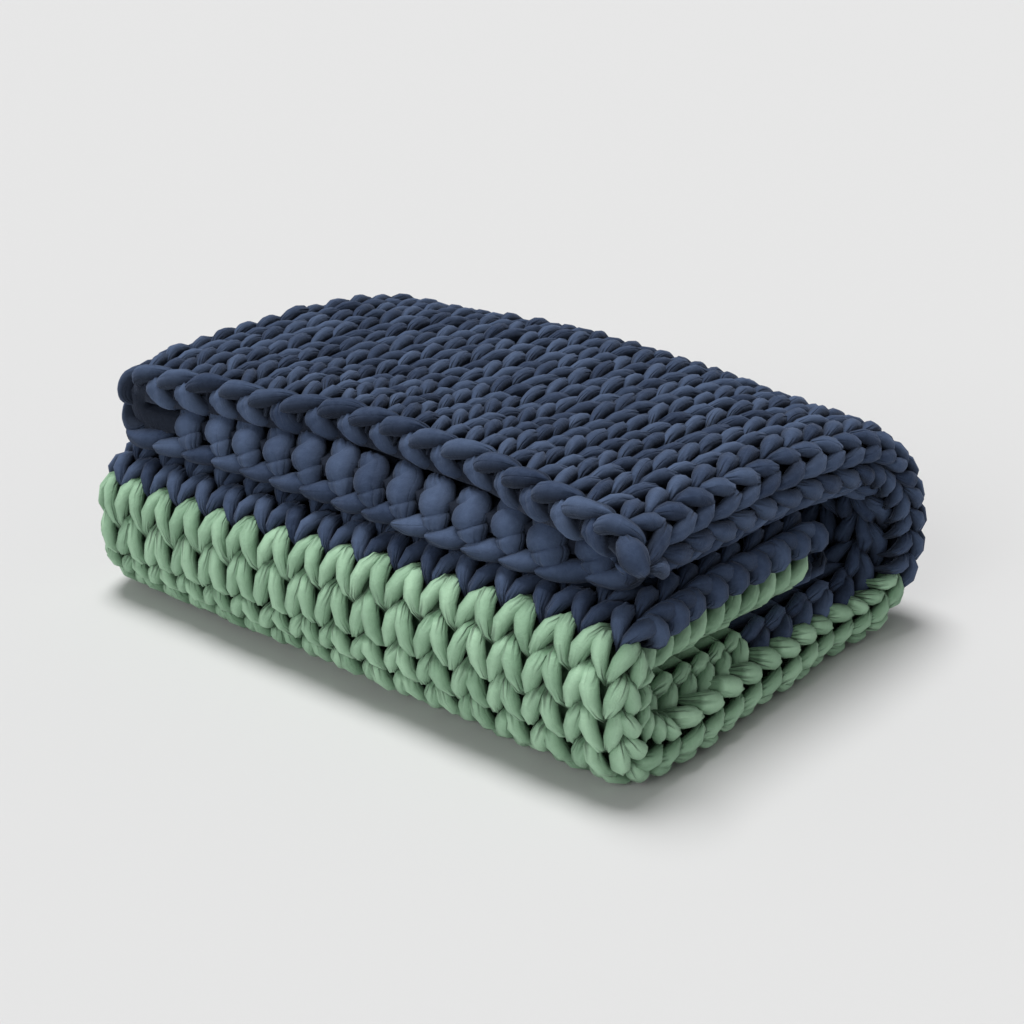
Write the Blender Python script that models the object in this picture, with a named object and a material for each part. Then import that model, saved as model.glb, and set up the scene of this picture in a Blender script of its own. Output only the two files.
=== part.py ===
"""Folded knitted blanket: one knitted cloth, doubled across its width and then folded in three.

The cloth is one closed solid. Its cross-section is a hairpin, two layers joined by a fold at the left
end, and that hairpin is carried along a letter fold: over the top, down the back, along the underside,
up the front and back in between. X runs along the folds, Y from front to back, Z up. The origin is the
middle of the underside.
"""

import math

import bmesh
import bpy

LENGTH = 0.608  # left fold to right-hand edges
DEPTH = 0.442  # front fold to back fold
CLOTH = 0.0321  # thickness of the knitted cloth
GAP = 0.0037  # air between two layers
PITCH = CLOTH + GAP  # from one layer to the next
WALES = 15  # columns of stitches across the flat of each half
WALE_GROOVE = 0.0060  # depth of the groove between two columns
FLAT_UP_TO = 0.004  # height above the ground where the grooves start
GROOVED_FROM = 0.020  # height where they have their full depth
PLAIN_STEPS = 8  # steps across the faces that lie hidden between the layers
EDGE_ROUND = 0.0120  # how far an edge of the cloth is rounded off
FRONT_STEP = 0.030  # how far the top edge lies behind the front fold
INNER_SHORT = 0.022  # from the inner end to the back fold around it
BACK_RIGHT_SAG = 0.105  # share of its height by which the back right corner has settled
BACK_LEFT_SAG = 0.070

# Section of the letter fold, how its outline swells from a circle, and the steps along it.
LETTER_FOLD = (
    ("top", 0.0, 12),
    ("back fold", 0.05, 12),
    ("underside", 0.0, 7),
    ("front fold", 0.55, 10),
    ("inside", 0.0, 7),
)
EDGE_STEPS = (0.004, 0.012)  # further steps this far in from both ends of the cloth

# Share of the length along the cloth, and how far the right-hand edges lie inside the full length
# there: the outer layer's, then the inner layer's.
RIGHT_EDGES = (
    (0.00, 0.016, 0.026),
    (0.10, 0.014, 0.018),
    (0.22, 0.014, 0.020),
    (0.30, 0.014, 0.024),
    (0.38, 0.008, 0.024),
    (0.47, 0.018, 0.022),
    (0.54, 0.010, 0.016),
    (0.64, 0.000, 0.012),
    (0.72, 0.000, 0.016),
    (0.84, 0.014, 0.024),
    (1.00, 0.020, 0.030),
)

# Share of the length along the cloth, and how far the left fold lies inside the full length there.
LEFT_FOLD = (
    (0.00, 0.021),
    (0.12, 0.015),
    (0.24, 0.016),
    (0.34, 0.024),
    (0.44, 0.014),
    (0.54, 0.002),
    (0.64, 0.000),
    (0.74, 0.006),
    (0.84, 0.014),
    (1.00, 0.016),
)

# Share of the length from left to right, how far the top edge is drawn back there, outer layer and
# inner layer, and how far the outer layer is lifted.
TOP_EDGE = (
    (0.00, 0.000, 0.000, 0.000),
    (0.20, 0.012, 0.006, 0.004),
    (0.45, 0.030, 0.010, 0.008),
    (0.70, 0.027, 0.008, 0.006),
    (0.88, 0.010, 0.016, 0.003),
    (1.00, 0.000, 0.036, 0.000),
)
TOP_EDGE_REACH = 0.16  # how far in from the edge it is drawn back
INNER_LIFT = 0.4  # share of the outer layer's lift that the inner layer follows

INK_BLUE = (0.040, 0.062, 0.120, 1.0)


def smooth(share):
    share = min(max(share, 0.0), 1.0)
    return share * share * (3.0 - 2.0 * share)


def read(table, share, column):
    """The table's column at this share, eased from row to row."""
    for low, high in zip(table, table[1:]):
        if share <= high[0]:
            part = smooth((share - low[0]) / (high[0] - low[0]))
            return low[column] + (high[column] - low[column]) * part
    return table[-1][column]


def letter_fold():
    """Steps along the cloth, each (share of the length, place), where place gives (y, z) at a distance
    outward from the middle of the doubled cloth."""
    front = -DEPTH / 2.0
    back = DEPTH / 2.0
    back_radius = 2.0 * PITCH
    front_radius = PITCH
    low = CLOTH / 2.0 + PITCH / 2.0
    back_centre = back - back_radius - low
    front_centre = front + front_radius + low
    inner_end = back_centre + PITCH - INNER_SHORT

    def run(y_from, y_to, height, outward):
        def at(part):
            return lambda offset: (y_from + (y_to - y_from) * part, height + outward * offset)
        return abs(y_to - y_from), at

    def turn(centre, height, radius, side, start, swell):
        def at(part):
            angle = math.pi * part
            def place(offset):
                reach = radius + offset
                power = 2.0 / (2.0 + swell * reach / (radius + low))
                across = math.sin(angle) ** power * side
                along = math.copysign(abs(math.cos(angle)) ** power, math.cos(angle)) * start
                return centre + reach * across, height + reach * along
            return place
        return math.pi * radius, at

    swell = {name: value for name, value, steps in LETTER_FOLD}
    steps_of = {name: steps for name, value, steps in LETTER_FOLD}
    sections = {
        "top": run(front + FRONT_STEP, back_centre, low + 2.0 * back_radius, 1.0),
        "back fold": turn(back_centre, low + back_radius, back_radius, 1.0, 1.0, swell["back fold"]),
        "underside": run(back_centre, front_centre, low, -1.0),
        "front fold": turn(front_centre, low + front_radius, front_radius, -1.0, -1.0, swell["front fold"]),
        "inside": run(front_centre, inner_end, low + 2.0 * front_radius, 1.0),
    }
    total = sum(length for length, at in sections.values())
    steps = []
    gone = 0.0
    for name, (length, at) in sections.items():
        for step in range(steps_of[name]):
            part = step / steps_of[name]
            steps.append(((gone + length * part) / total, at(part)))
        gone += length
    steps.append((1.0, sections["inside"][1](1.0)))
    for inset in EDGE_STEPS:
        steps.append((inset / total, sections["top"][1](inset / sections["top"][0])))
        steps.append((1.0 - inset / total, sections["inside"][1](1.0 - inset / sections["inside"][0])))
    return sorted(steps, key=lambda step: step[0]), total


def hairpin():
    """The doubled cloth's outline. Each point has its share of the length from left to right, its layer's
    middle there (x past that place, outward), the direction of its face (x, outward) and its groove."""
    points = []
    middle = PITCH / 2.0

    def edge(outward, angles):
        for angle in angles:
            turned = math.radians(angle)
            points.append((1.0, 0.0, outward * middle, math.cos(turned), math.sin(turned) * outward, 0.0))

    def grooved(columns):
        for column in columns:
            points.append(((column + 0.5) / WALES, 0.0, middle, 0.0, 1.0, 0.0))
            if column:
                points.append((column / WALES, 0.0, middle, 0.0, 1.0, 1.0))

    def plain(outward, facing, shares):
        for share in shares:
            points.append((share, 0.0, outward * middle, 0.0, facing, 0.0))

    def left_fold(side, angles):
        for angle in angles:
            across = math.cos(math.radians(angle))
            out = math.sin(math.radians(angle))
            points.append((0.0, across * middle, out * middle, across * side, out * side, 0.0))

    shares = [step / PLAIN_STEPS for step in range(1, PLAIN_STEPS)]
    edge(1.0, (0, 45))
    grooved(range(WALES - 1, -1, -1))
    left_fold(1.0, (90, 120, 150, 180, 210, 240, 270))
    plain(-1.0, -1.0, shares)
    edge(-1.0, (45, 0, -45))
    plain(-1.0, 1.0, shares[::-1])
    left_fold(-1.0, (250, 180, 110))
    plain(1.0, -1.0, shares)
    edge(1.0, (-45,))
    return points


def groove_strength(height):
    """Grooves fade out where the cloth lies flat on the ground."""
    return smooth((height - FLAT_UP_TO) / (GROOVED_FROM - FLAT_UP_TO))


def settled(x, y):
    """Share of the height left where the layers have settled towards the back corners."""
    back = smooth(y / (DEPTH / 2.0))
    right = smooth(x / (LENGTH / 2.0))
    left = smooth(-x / (LENGTH / 2.0))
    return 1.0 - back * (BACK_RIGHT_SAG * right + BACK_LEFT_SAG * left)


def cloth_points():
    steps, total = letter_fold()
    outline = hairpin()
    rings = []
    for share, place in steps:
        near_start = share * total
        near_end = (1.0 - share) * total
        from_edge = min(near_start, near_end, EDGE_ROUND) / EDGE_ROUND
        half = CLOTH / 2.0 * (0.5 + 0.5 * math.sqrt(1.0 - (1.0 - from_edge) ** 2))
        left = -LENGTH / 2.0 + read(LEFT_FOLD, share, 1) + (CLOTH + PITCH) / 2.0
        drawn = 1.0 - smooth(near_start / TOP_EDGE_REACH)
        ring = []
        for along, past, outward, face_x, face_out, groove in outline:
            inner = smooth(0.5 - outward / PITCH)
            outer = 1.0 - inner
            inset = read(RIGHT_EDGES, share, 1) * outer + read(RIGHT_EDGES, share, 2) * inner
            right = LENGTH / 2.0 - inset - CLOTH / 2.0
            height = place(outward + face_out * half)[1]
            cut = WALE_GROOVE * groove * groove_strength(height)
            y, z = place(outward + face_out * (half - cut))
            x = left + (right - left) * along + past + face_x * half
            back = read(TOP_EDGE, along, 1) * outer + read(TOP_EDGE, along, 2) * inner
            y += back * drawn
            z += read(TOP_EDGE, along, 3) * drawn * (outer + INNER_LIFT * inner)
            ring.append((x, y, z * settled(x, y)))
        rings.append(ring)
    return rings


def add_cloth(name, rings, colour, roughness, collection):
    shape = bmesh.new()
    loops = [[shape.verts.new(point) for point in ring] for ring in rings]
    around = len(loops[0])
    for near, far in zip(loops, loops[1:]):
        for i in range(around):
            j = (i + 1) % around
            shape.faces.new((near[i], near[j], far[j], far[i]))
    shape.faces.new(loops[0][::-1])
    shape.faces.new(loops[-1])
    bmesh.ops.recalc_face_normals(shape, faces=shape.faces)
    bmesh.ops.triangulate(shape, faces=shape.faces)
    if shape.calc_volume(signed=True) < 0.0:
        bmesh.ops.reverse_faces(shape, faces=shape.faces)
    mesh = bpy.data.meshes.new(name)
    shape.to_mesh(mesh)
    shape.free()
    cloth = bpy.data.objects.new(name, mesh)
    collection.objects.link(cloth)
    material = bpy.data.materials.new(name + " yarn")
    material.use_nodes = True
    surface = material.node_tree.nodes["Principled BSDF"]
    surface.inputs["Base Color"].default_value = colour
    surface.inputs["Roughness"].default_value = roughness
    surface.inputs["Metallic"].default_value = 0.0
    mesh.materials.append(material)
    return cloth


def main():
    for startup in list(bpy.data.objects):
        bpy.data.objects.remove(startup, do_unlink=True)
    collection = bpy.data.collections.new("folded_knitted_blanket")
    bpy.context.scene.collection.children.link(collection)
    cloth = add_cloth("knitted_cloth", cloth_points(), INK_BLUE, 0.9, collection)
    for face in cloth.data.polygons:
        face.use_smooth = True


main()
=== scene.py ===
# Folded blanket, hand knitted in stockinette from thick tubular cotton jersey yarn:
# navy, a sage green band, then navy again. One cloth, doubled across its width with the
# fold at the left, then folded in three like a letter.
import math
from functools import partial

import bpy
import numpy as np
from mathutils import Matrix, Vector


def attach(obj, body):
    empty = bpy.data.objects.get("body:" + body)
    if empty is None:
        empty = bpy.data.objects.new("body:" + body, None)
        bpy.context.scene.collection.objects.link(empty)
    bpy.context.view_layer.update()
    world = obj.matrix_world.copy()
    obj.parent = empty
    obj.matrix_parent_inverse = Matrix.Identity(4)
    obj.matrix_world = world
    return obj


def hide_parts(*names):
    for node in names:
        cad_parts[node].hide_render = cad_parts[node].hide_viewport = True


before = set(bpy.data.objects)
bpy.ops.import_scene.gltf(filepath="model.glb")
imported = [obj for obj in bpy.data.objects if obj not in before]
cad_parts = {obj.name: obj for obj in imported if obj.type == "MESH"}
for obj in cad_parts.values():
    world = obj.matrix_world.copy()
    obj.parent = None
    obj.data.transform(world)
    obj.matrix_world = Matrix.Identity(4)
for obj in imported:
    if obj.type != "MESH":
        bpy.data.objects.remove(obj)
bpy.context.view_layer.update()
print("frame loaded")


# small helpers

def linearColour(hexCode):
    channels = [int(hexCode[i:i + 2], 16) / 255.0 for i in (1, 3, 5)]
    linear = [c / 12.92 if c <= 0.04045 else ((c + 0.055) / 1.055) ** 2.4 for c in channels]
    return (*linear, 1.0)


def addNode(tree, kind, inputs=None, **settings):
    # inputs are keyed by socket identifier or position; a socket is linked, a node is linked by
    # its first output, and any other value is set
    node = tree.nodes.new(kind)
    for name, value in settings.items():
        setattr(node, name, value)
    for key, value in (inputs or {}).items():
        if isinstance(key, int):
            socket = node.inputs[key]
        else:
            socket = next(s for s in node.inputs if s.identifier == key)
        if isinstance(value, bpy.types.Node):
            value = value.outputs[0]
        if isinstance(value, bpy.types.NodeSocket):
            tree.links.new(value, socket)
        else:
            socket.default_value = value
    return node


def smoothShare(share):
    share = np.clip(share, 0.0, 1.0)
    return share * share * (3.0 - 2.0 * share)


def easedTable(rows, share, column):
    # reads a column of a table whose first column is the share, eased from row to row
    places = np.array([row[0] for row in rows])
    values = np.array([row[column] for row in rows])
    step = np.clip(np.searchsorted(places, share, side="right") - 1, 0, len(rows) - 2)
    part = smoothShare((share - places[step]) / (places[step + 1] - places[step]))
    return values[step] + (values[step + 1] - values[step]) * part


def splineThrough(rows, count):
    # Catmull-Rom curve through the rows of a table, at count even steps
    table = np.array(rows, float)
    padded = np.vstack([2 * table[0] - table[1], table, 2 * table[-1] - table[-2]])
    place = np.linspace(0.0, len(table) - 1.0, count)
    base = np.minimum(place.astype(int), len(table) - 2)
    t = (place - base)[:, None]
    p0, p1, p2, p3 = (padded[base + i] for i in range(4))
    return 0.5 * (2 * p1 + (p2 - p0) * t + (2 * p0 - 5 * p1 + 4 * p2 - p3) * t ** 2
                  + (3 * p1 - p0 - 3 * p2 + p3) * t ** 3)


def meshObject(name, points, faces):
    mesh = bpy.data.meshes.new(name)
    mesh.from_pydata([tuple(p) for p in points], [], [tuple(f) for f in faces])
    mesh.update()
    return bpy.data.objects.new(name, mesh)


def gridFaces(index):
    # four-sided faces between the points of a grid of point numbers
    corners = (index[:-1, :-1], index[1:, :-1], index[1:, 1:], index[:-1, 1:])
    return np.stack(corners, axis=-1).reshape(-1, 4)


def dressCloth(piece):
    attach(piece, "root")
    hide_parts("knitted_cloth")


# the cloth as it lies folded

clothSizes = {
    "length": 0.608,  # left fold to right-hand edges
    "depth": 0.442,  # front fold to back fold
    "cloth": 0.0321,  # thickness of the knitted cloth
    "gap": 0.0037,  # air between two layers
    "frontStep": 0.030,  # how far the top edge lies behind the front fold
    "innerShort": 0.022,  # from the inner end to the back fold around it
    "backSwell": 0.05,  # how the folds swell from a circle
    "frontSwell": 0.55,
    "backRightSag": 0.135,  # share of the height by which the back corners have settled
    "backLeftSag": 0.070,
    "topEdgeReach": 0.16,  # how far in from the top edge it is drawn back
    "innerLift": 0.4,  # share of the outer layer's lift there that the inner one has
    "strandLevel": 0.0080,  # strand middles above the middle of the cloth, on the knit side
    "outerCurl": 0.0240,  # radius to which the outer layer's right-hand edge curls in
    "innerCurl": 0.0200,
    "edgeTurn": 109.0,  # degrees of curl that the middle of an edge column would reach
    "outerTurn": 96.0,  # degrees after which the outer edge hangs straight
    "innerTurn": 104.0,
    "tuckedTurn": 150.0,  # the same for the outer edge where it lies inside the fold
    "tuckedFrom": 0.69,  # share of the length along the cloth where that begins,
    "tuckedOver": 0.08,  # and over which it sets in
    "cornerTurn": 32.0,  # and at the corner of the top edge, as far as cornerReach
    "cornerReach": 0.035,
    "foldWales": 2.76,  # columns round the fold at the left
    "foldMiddle": 16.5,
    "lastWale": 34,
    "innerSetBack": 0.006,  # how much further in the inner layer's edge lies
    "rowHeight": 0.0285,
    "mostRows": 60.0,  # more than the cloth has
    "leftRowsShort": 0.015,  # share by which the rows lie closer together at the left
    "waleWidth": 0.0366,
    "pastEnd": 0.05,  # how far the cloth may run on past its hidden end
    "pathMargin": 0.12,  # fold path measured beyond both ends
    "pathSteps": 4000,
}

# share of the length along the cloth, inset of the outer layer's edge, inset of the inner layer's
rightEdges = (
    (0.00, 0.010, 0.022), (0.09, 0.013, 0.018), (0.22, 0.014, 0.020), (0.30, 0.014, 0.024),
    (0.38, 0.008, 0.024), (0.47, 0.018, 0.022), (0.54, 0.010, 0.016), (0.64, 0.000, 0.012),
    (0.72, 0.000, 0.016), (0.84, 0.014, 0.024), (1.00, 0.020, 0.030),
)

# share of the length along the cloth, inset of the left fold
leftFold = (
    (0.00, 0.034), (0.05, 0.016), (0.12, 0.009), (0.24, 0.010), (0.34, 0.018), (0.44, 0.014),
    (0.54, 0.003), (0.64, 0.002), (0.74, 0.012), (0.84, 0.020), (1.00, 0.020),
)

# share from left to right, outer layer drawn back, inner layer drawn back, outer layer lifted
topEdge = (
    (0.00, 0.000, 0.000, 0.000), (0.20, 0.012, 0.006, 0.004), (0.45, 0.030, 0.010, 0.008),
    (0.70, 0.027, 0.008, 0.006), (0.88, 0.010, 0.016, 0.003), (1.00, 0.000, 0.036, 0.000),
)

# rows of the inner layer at its right-hand edge: row, metres along that layer
innerRows = ((0.0, 0.0), (18.5, 0.6156), (35.5, 1.0060), (38.5, 1.0786), (52.0, 1.4300))


def foldSections():
    s = clothSizes
    pitch = s["cloth"] + s["gap"]
    low = (s["cloth"] + pitch) / 2.0
    backCentre = s["depth"] / 2.0 - 2.0 * pitch - low
    frontCentre = -s["depth"] / 2.0 + pitch + low
    innerEnd = backCentre + pitch - s["innerShort"]
    top = -s["depth"] / 2.0 + s["frontStep"]
    # kind, from y or centre y, to y or radius, height of the middle, outward side, swell
    return (
        ("run", top, backCentre, low + 4.0 * pitch, 1.0, 0.0),
        ("turn", backCentre, 2.0 * pitch, low + 2.0 * pitch, 1.0, s["backSwell"]),
        ("run", backCentre, frontCentre, low, -1.0, 0.0),
        ("turn", frontCentre, pitch, low + pitch, -1.0, s["frontSwell"]),
        ("run", frontCentre, innerEnd, low + 2.0 * pitch, 1.0, 0.0),
    ), low


def sectionLength(section):
    kind, first, second = section[:3]
    return abs(second - first) if kind == "run" else math.pi * second


def placeOnFold(distance, offset):
    # (y, z) at a distance along the middle of the doubled cloth, offset outward from it
    sections, low = foldSections()
    distance, offset = np.broadcast_arrays(np.asarray(distance, float), offset)
    y, z = np.zeros(distance.shape), np.zeros(distance.shape)
    gone = 0.0
    for number, section in enumerate(sections):
        kind, first, second, height, side, swell = section
        length = sectionLength(section)
        start = -np.inf if number == 0 else gone
        end = np.inf if number == len(sections) - 1 else gone + length
        here = (distance >= start) & (distance < end)
        part = (distance[here] - gone) / length
        out = offset[here]
        if kind == "run":
            y[here] = first + (second - first) * part
            z[here] = height + side * out
        else:
            angle = math.pi * part
            reach = second + out
            power = 2.0 / (2.0 + swell * reach / (second + low))
            y[here] = first + reach * np.sin(angle) ** power * side
            z[here] = height + reach * np.sign(np.cos(angle)) * np.abs(np.cos(angle)) ** power * side
        gone += length
    return y, z


foldLength = sum(sectionLength(section) for section in foldSections()[0])


def rowDistances(rows, offset, known):
    # distance along the middle at which the rows lie in a layer; known is (row, metres in that layer)
    s = clothSizes
    fine = np.linspace(-s["pathMargin"], foldLength + s["pathMargin"], s["pathSteps"])
    y, z = placeOnFold(fine, offset)
    along = np.concatenate([[0.0], np.cumsum(np.hypot(np.diff(y), np.diff(z)))])
    along -= np.interp(0.0, fine, along)
    table = np.array(known)
    metres = np.interp(rows, table[:, 0], table[:, 1])
    metres = np.where(rows < 0.0, rows * table[1, 1] / table[1, 0], metres)
    return np.interp(metres, along, fine)


def curlWales(radius):
    # columns of stitches on a quarter turn of a curled edge
    return math.pi / 2.0 * radius / clothSizes["waleWidth"]


def knitPlan():
    # columns where the inner curl, the left fold and the outer curl begin and end
    s = clothSizes
    innerStart = s["edgeTurn"] / 90.0 * curlWales(s["innerCurl"])
    outerStart = s["lastWale"] - s["edgeTurn"] / 90.0 * curlWales(s["outerCurl"])
    middle = s["foldMiddle"]
    return innerStart, middle - s["foldWales"] / 2.0, middle + s["foldWales"] / 2.0, outerStart


def clothSurface(wales, rows, level, pastEnd=clothSizes["pastEnd"]):
    # points of the cloth at these columns and rows, level above its middle on the knit side
    s = clothSizes
    pitch = s["cloth"] + s["gap"]
    middle, face = pitch / 2.0, s["cloth"] / 2.0
    innerStart, foldStart, foldEnd, outerStart = knitPlan()
    u = wales[:, None]
    outerKnown = ((0.0, 0.0), (s["mostRows"], s["mostRows"] * s["rowHeight"]))
    outerDistance = rowDistances(rows, middle + s["strandLevel"], outerKnown)
    innerDistance = rowDistances(rows, -middle, innerRows)
    slip = smoothShare((foldStart - u) / (foldStart - innerStart))
    drawnUp = 1.0 - s["leftRowsShort"] * smoothShare((outerStart - u) / (outerStart - foldEnd))
    distance = outerDistance[None, :] * drawnUp * (1.0 - slip) + innerDistance[None, :] * slip
    distance = np.minimum(distance, foldLength + pastEnd)
    share = np.clip(distance / foldLength, 0.0, 1.0)

    # half a turn round the left fold, from the inner layer to the outer one
    turned = math.pi * np.clip((u - foldStart) / (foldEnd - foldStart), 0.0, 1.0)
    outward = -np.cos(turned) * middle
    innerAlong = (foldStart - u) / (foldStart - innerStart)
    outerAlong = (u - foldEnd) / (outerStart - foldEnd)
    along = np.clip(np.where(u < foldStart, innerAlong, outerAlong), 0.0, 1.0)
    sideways = -np.sin(turned) * (middle + level)
    offset = -np.cos(turned) * (middle + level)
    inward = 0.0
    tucked = smoothShare((share - s["tuckedFrom"]) / s["tuckedOver"])
    corner = 1.0 - smoothShare(share / s["cornerReach"])
    outerTurn = s["outerTurn"] + (s["tuckedTurn"] - s["outerTurn"]) * tucked
    outerTurn = outerTurn - (s["outerTurn"] - s["cornerTurn"]) * corner
    for side, start, radius, mostTurn in (
        (-1.0, innerStart, s["innerCurl"], s["innerTurn"]),
        (1.0, outerStart, s["outerCurl"], outerTurn),
    ):
        on = (u <= foldStart) if side < 0.0 else (u >= foldEnd)
        past = np.clip((u - start) * side, 0.0, None)
        curl = np.minimum(past / curlWales(radius), mostTurn / 90.0)
        hang = (past - curl * curlWales(radius)) * s["waleWidth"]
        curl = curl * math.pi / 2.0
        reach = radius - face + level
        curled = middle + face - radius + np.cos(curl) * reach - np.sin(curl) * hang
        offset = np.where(on, side * curled, offset)
        sideways = np.where(on, np.sin(curl) * reach + np.cos(curl) * hang, sideways)
        inward = np.where(on, radius - face, inward)

    inner = smoothShare(0.5 - outward / pitch)
    outer = 1.0 - inner
    left = -s["length"] / 2.0 + easedTable(leftFold, share, 1) + (s["cloth"] + pitch) / 2.0
    inset = easedTable(rightEdges, share, 1) * outer
    inset = inset + (easedTable(rightEdges, share, 2) + s["innerSetBack"]) * inner
    right = s["length"] / 2.0 - inset - face - inward
    x = left + (right - left) * along + sideways
    y, z = placeOnFold(distance, offset)
    drawn = 1.0 - smoothShare(np.clip(distance, 0.0, None) / s["topEdgeReach"])
    drawnBack = easedTable(topEdge, along, 1) * outer + easedTable(topEdge, along, 2) * inner
    y = y + drawnBack * drawn
    z = z + easedTable(topEdge, along, 3) * drawn * (outer + s["innerLift"] * inner)
    back = smoothShare(y / (s["depth"] / 2.0))
    rightward = smoothShare(x / (s["length"] / 2.0))
    leftward = smoothShare(-x / (s["length"] / 2.0))
    z = z * (1.0 - back * (s["backRightSag"] * rightward + s["backLeftSag"] * leftward))
    return np.stack([x, y, z], axis=-1)


# the guide is the cloth without its stitches; its flat map is the cloth laid out flat
guideSizes = {
    "waleMargin": 1.0, "waleSpan": 36.0, "rowMargin": 3.0, "rowSpan": 52.0,  # in columns and rows
    "pastSides": 0.70,  # columns that the guide has beyond the cloth's two sides
    "curlLines": 25, "layerLines": 61, "foldLines": 27,  # grid lines in each stretch across
    "firstRow": -2.5, "lastRow": 48.0, "rowStep": 0.25,
}


def knitLines():
    g = guideSizes
    innerStart, foldStart, foldEnd, outerStart = knitPlan()
    lastWale = clothSizes["lastWale"] + g["pastSides"]
    wales = np.concatenate([
        np.linspace(-g["pastSides"], innerStart, g["curlLines"])[:-1],
        np.linspace(innerStart, foldStart, g["layerLines"])[:-1],
        np.linspace(foldStart, foldEnd, g["foldLines"])[:-1],
        np.linspace(foldEnd, outerStart, g["layerLines"])[:-1],
        np.linspace(outerStart, lastWale, g["curlLines"]),
    ])
    return wales, np.arange(g["firstRow"], g["lastRow"] + g["rowStep"] / 2.0, g["rowStep"])


def foldedGuide():
    wales, rows = knitLines()
    points = clothSurface(wales, rows, clothSizes["strandLevel"])
    acrossStep = np.gradient(points, wales, axis=0)
    alongStep = np.gradient(points, rows, axis=1)
    normals = np.cross(acrossStep, alongStep)
    normals /= np.maximum(np.linalg.norm(normals, axis=-1, keepdims=True), 1e-12)
    faces = gridFaces(np.arange(points.shape[0] * points.shape[1]).reshape(points.shape[:2]))
    guide = meshObject("foldedGuide", points.reshape(-1, 3), faces)
    flatWales = (wales + guideSizes["waleMargin"]) / guideSizes["waleSpan"]
    flatRows = (rows + guideSizes["rowMargin"]) / guideSizes["rowSpan"]
    flat = np.stack(np.meshgrid(flatWales, flatRows, indexing="ij"), axis=-1).reshape(-1, 2)
    flatMap = guide.data.uv_layers.new(name="flatMap")
    flatMap.data.foreach_set("uv", flat[faces.reshape(-1)].astype(np.float32).reshape(-1))
    facing = guide.data.attributes.new("clothNormal", "FLOAT_VECTOR", "POINT")
    facing.data.foreach_set("vector", normals.astype(np.float32).reshape(-1))
    return guide


foldedSheet = foldedGuide()
print("cloth laid out, fold length", round(foldLength, 4))


# strands of yarn, each a closed tube drawn on the flat cloth in metres: across the columns,
# along the rows, and height above the strand level
strandSizes = {
    "thinnest": 0.0004,  # half a strand's width at the least
    "gatherFrom": 0.3,  # sine of the angle above which a strand is gathered
    "tipLength": 0.7,  # of its closed ends, in half thicknesses
}


def strandShape(name, table, rings, mirror=1.0, reference=(1.0, 0.0, 0.0), topSides=8, lowSides=2,
                mapSpan=1.0, crest=90.0):
    # table columns: across, along, height, half width, half thickness, depth of the gathers;
    # every second line of points on the knit side sinks by the gathers, and the map has its
    # middle at the crest, in degrees round the strand; the yarn paints shade on the flanks away from it
    s = strandSizes
    path = splineThrough(table, rings)
    spine = path[:, :3] * (mirror, 1.0, 1.0)
    widths, depths = np.maximum(path[:, 3], s["thinnest"]), np.maximum(path[:, 4], s["thinnest"])
    tangent = np.gradient(spine, axis=0)
    tangent /= np.linalg.norm(tangent, axis=1, keepdims=True)
    sideways = np.array(reference) - tangent * (tangent @ np.array(reference))[:, None]
    sideways /= np.linalg.norm(sideways, axis=1, keepdims=True)
    upward = np.cross(sideways, tangent)
    low = -math.pi + np.arange(1, lowSides + 1) * math.pi / (lowSides + 1)
    high = np.linspace(0.0, math.pi, topSides)
    angles = np.concatenate([low[lowSides // 2:], high, low[:lowSides // 2] + 2.0 * math.pi])
    sides = len(angles)
    around = np.append(angles, angles[0] + 2.0 * math.pi) - math.radians(crest)
    around = around / (2.0 * math.pi) + 0.5
    gathered = (np.sin(angles) > s["gatherFrom"]) & (np.arange(sides) % 2 == 0)
    sink = 1.0 - path[:, 5:6] * gathered[None, :]
    ring = (sideways[:, None, :] * (np.cos(angles) * sink * widths[:, None])[:, :, None]
            + upward[:, None, :] * (np.sin(angles) * sink * depths[:, None])[:, :, None])
    points = (spine[:, None, :] + ring).reshape(-1, 3)
    outward = np.array([[-1.0], [1.0]]) * tangent[[0, -1]]
    points = np.vstack([points, spine[[0, -1]] + outward * depths[[0, -1], None] * s["tipLength"]])
    gone = np.concatenate([[0.0], np.cumsum(np.linalg.norm(np.diff(spine, axis=0), axis=1))])
    gone = 0.5 + (gone / gone[-1] - 0.5) * mapSpan  # a short map keeps the creases of the ends off it
    faces, corners = [], []
    for k in range(rings - 1):
        for i in range(sides):
            j = (i + 1) % sides
            faces.append((k * sides + i, (k + 1) * sides + i, (k + 1) * sides + j, k * sides + j))
            corners += [(gone[k], around[i]), (gone[k + 1], around[i])]
            corners += [(gone[k + 1], around[i + 1]), (gone[k], around[i + 1])]
    first, final = len(points) - 2, len(points) - 1
    for i in range(sides):
        j = (i + 1) % sides
        between = (around[i] + around[i + 1]) / 2.0
        faces.append((first, i, j))
        corners += [(gone[0], between), (gone[0], around[i]), (gone[0], around[i + 1])]
        faces.append((final, (rings - 1) * sides + j, (rings - 1) * sides + i))
        corners += [(gone[-1], between), (gone[-1], around[i + 1]), (gone[-1], around[i])]
    strand = meshObject(name, points, faces)
    uv = strand.data.uv_layers.new(name="strandMap")
    uv.data.foreach_set("uv", np.array(corners, np.float32).reshape(-1))
    return strand


# one tree lays strands out on the flat cloth and then carries them onto the folded guide
knitSettings = {
    "driftOfAStitch": 0.0010, "turnOfAStitch": 0.07, "sizeChange": 0.06, "lumps": 0.0035, "floor": 0.0003,
    "driftShares": (1.0, 1.0, 0.7),  # across, along and in height
    "turnShares": (0.6, 1.0, 1.0),
    "lumpScale": 62.0,  # to a metre
    "seedSteps": {"drift": 1.0, "turn": 10.0, "size": 20.0, "shade": 30.0},
    "farBelow": -10.0,  # metres, so that only the height is held above the floor
}


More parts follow.
